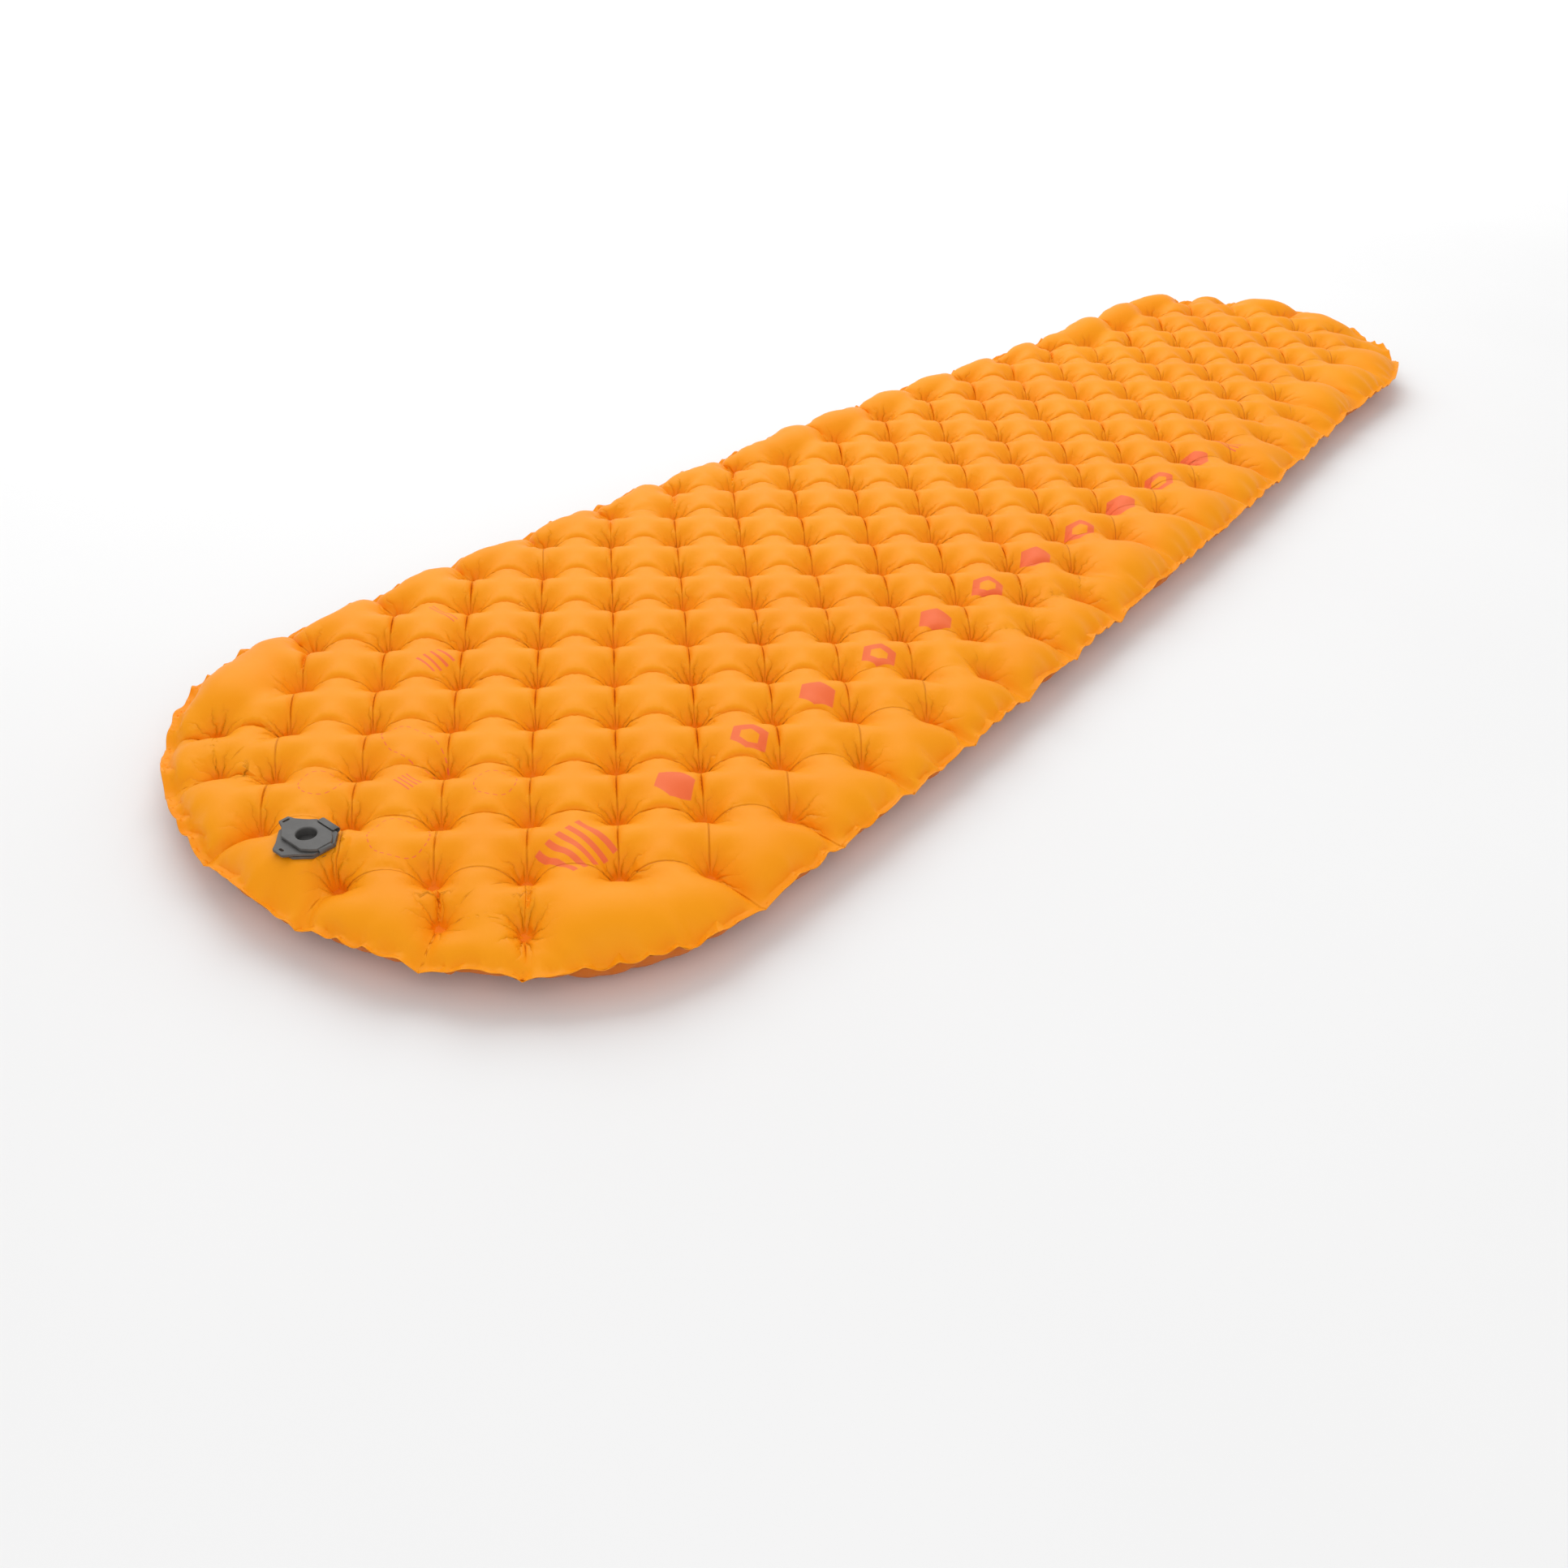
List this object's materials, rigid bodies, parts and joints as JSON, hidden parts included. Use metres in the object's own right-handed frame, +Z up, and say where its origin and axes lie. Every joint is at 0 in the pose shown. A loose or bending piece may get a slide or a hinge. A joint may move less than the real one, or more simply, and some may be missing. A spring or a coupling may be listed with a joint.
{
  "type": "inflatable sleeping pad",
  "caption": "Tapered inflatable sleeping pad with rounded ends, a quilted surface of weld dots and a flat layered valve near the head end.",
  "frame": {"origin": "middle of the pad's footprint, on the surface that it lies on", "axes": "+Z up; +Y along the pad from the valve end (head) to the narrow end (foot); +X across it"},
  "size_m": [0.556, 1.83, 0.0573],
  "materials": {
    "top_fabric": "satin coated nylon",
    "bottom_fabric": "satin coated nylon, darker",
    "weld_film": "fused film",
    "insulation": "matt fibre batt",
    "reflective_film": "metallised film",
    "valve_plastic": "fine-grained soft moulding",
    "seat_plastic": "moulded, satin",
    "seal_rubber": "soft, matt"
  },
  "bodies": {
    "pad": {"top_fabric": "top_fabric", "bottom_fabric": "bottom_fabric", "edge_weld": "weld_film", "weld_dots": "weld_film", "insulation_batt": "insulation", "reflective_film": "reflective_film", "valve_base": "valve_plastic", "deflation_strap": "valve_plastic"},
    "deflation_flap": {"deflation_plug": "valve_plastic", "plug_seal": "seal_rubber", "port_seat": "seat_plastic", "cap_strap": "valve_plastic"},
    "inflation_flap": {"inflation_cap": "valve_plastic", "cap_seal": "seal_rubber"},
    "button": {"release_button": "seat_plastic", "valve_diaphragm": "seal_rubber"}
  },
  "joints": [
    {"name": "deflation_hinge", "type": "hinge", "parent": "pad", "child": "deflation_flap", "pos_m": [0.01, -0.845, 0.0535], "axis": [-1, 0, 0], "range_deg": [0, 150], "deforming": ["deflation_strap"]},
    {"name": "cap_hinge", "type": "hinge", "parent": "deflation_flap", "child": "inflation_flap", "pos_m": [0.0318, -0.865, 0.05475], "axis": [0, 1, 0], "range_deg": [0, 180], "deforming": ["cap_strap"]},
    {"name": "button_travel", "type": "slide", "parent": "deflation_flap", "child": "button", "axis": [0, 0, -1], "range_m": [0, 0.0015], "stiffness_N_per_m": 400}
  ]
}
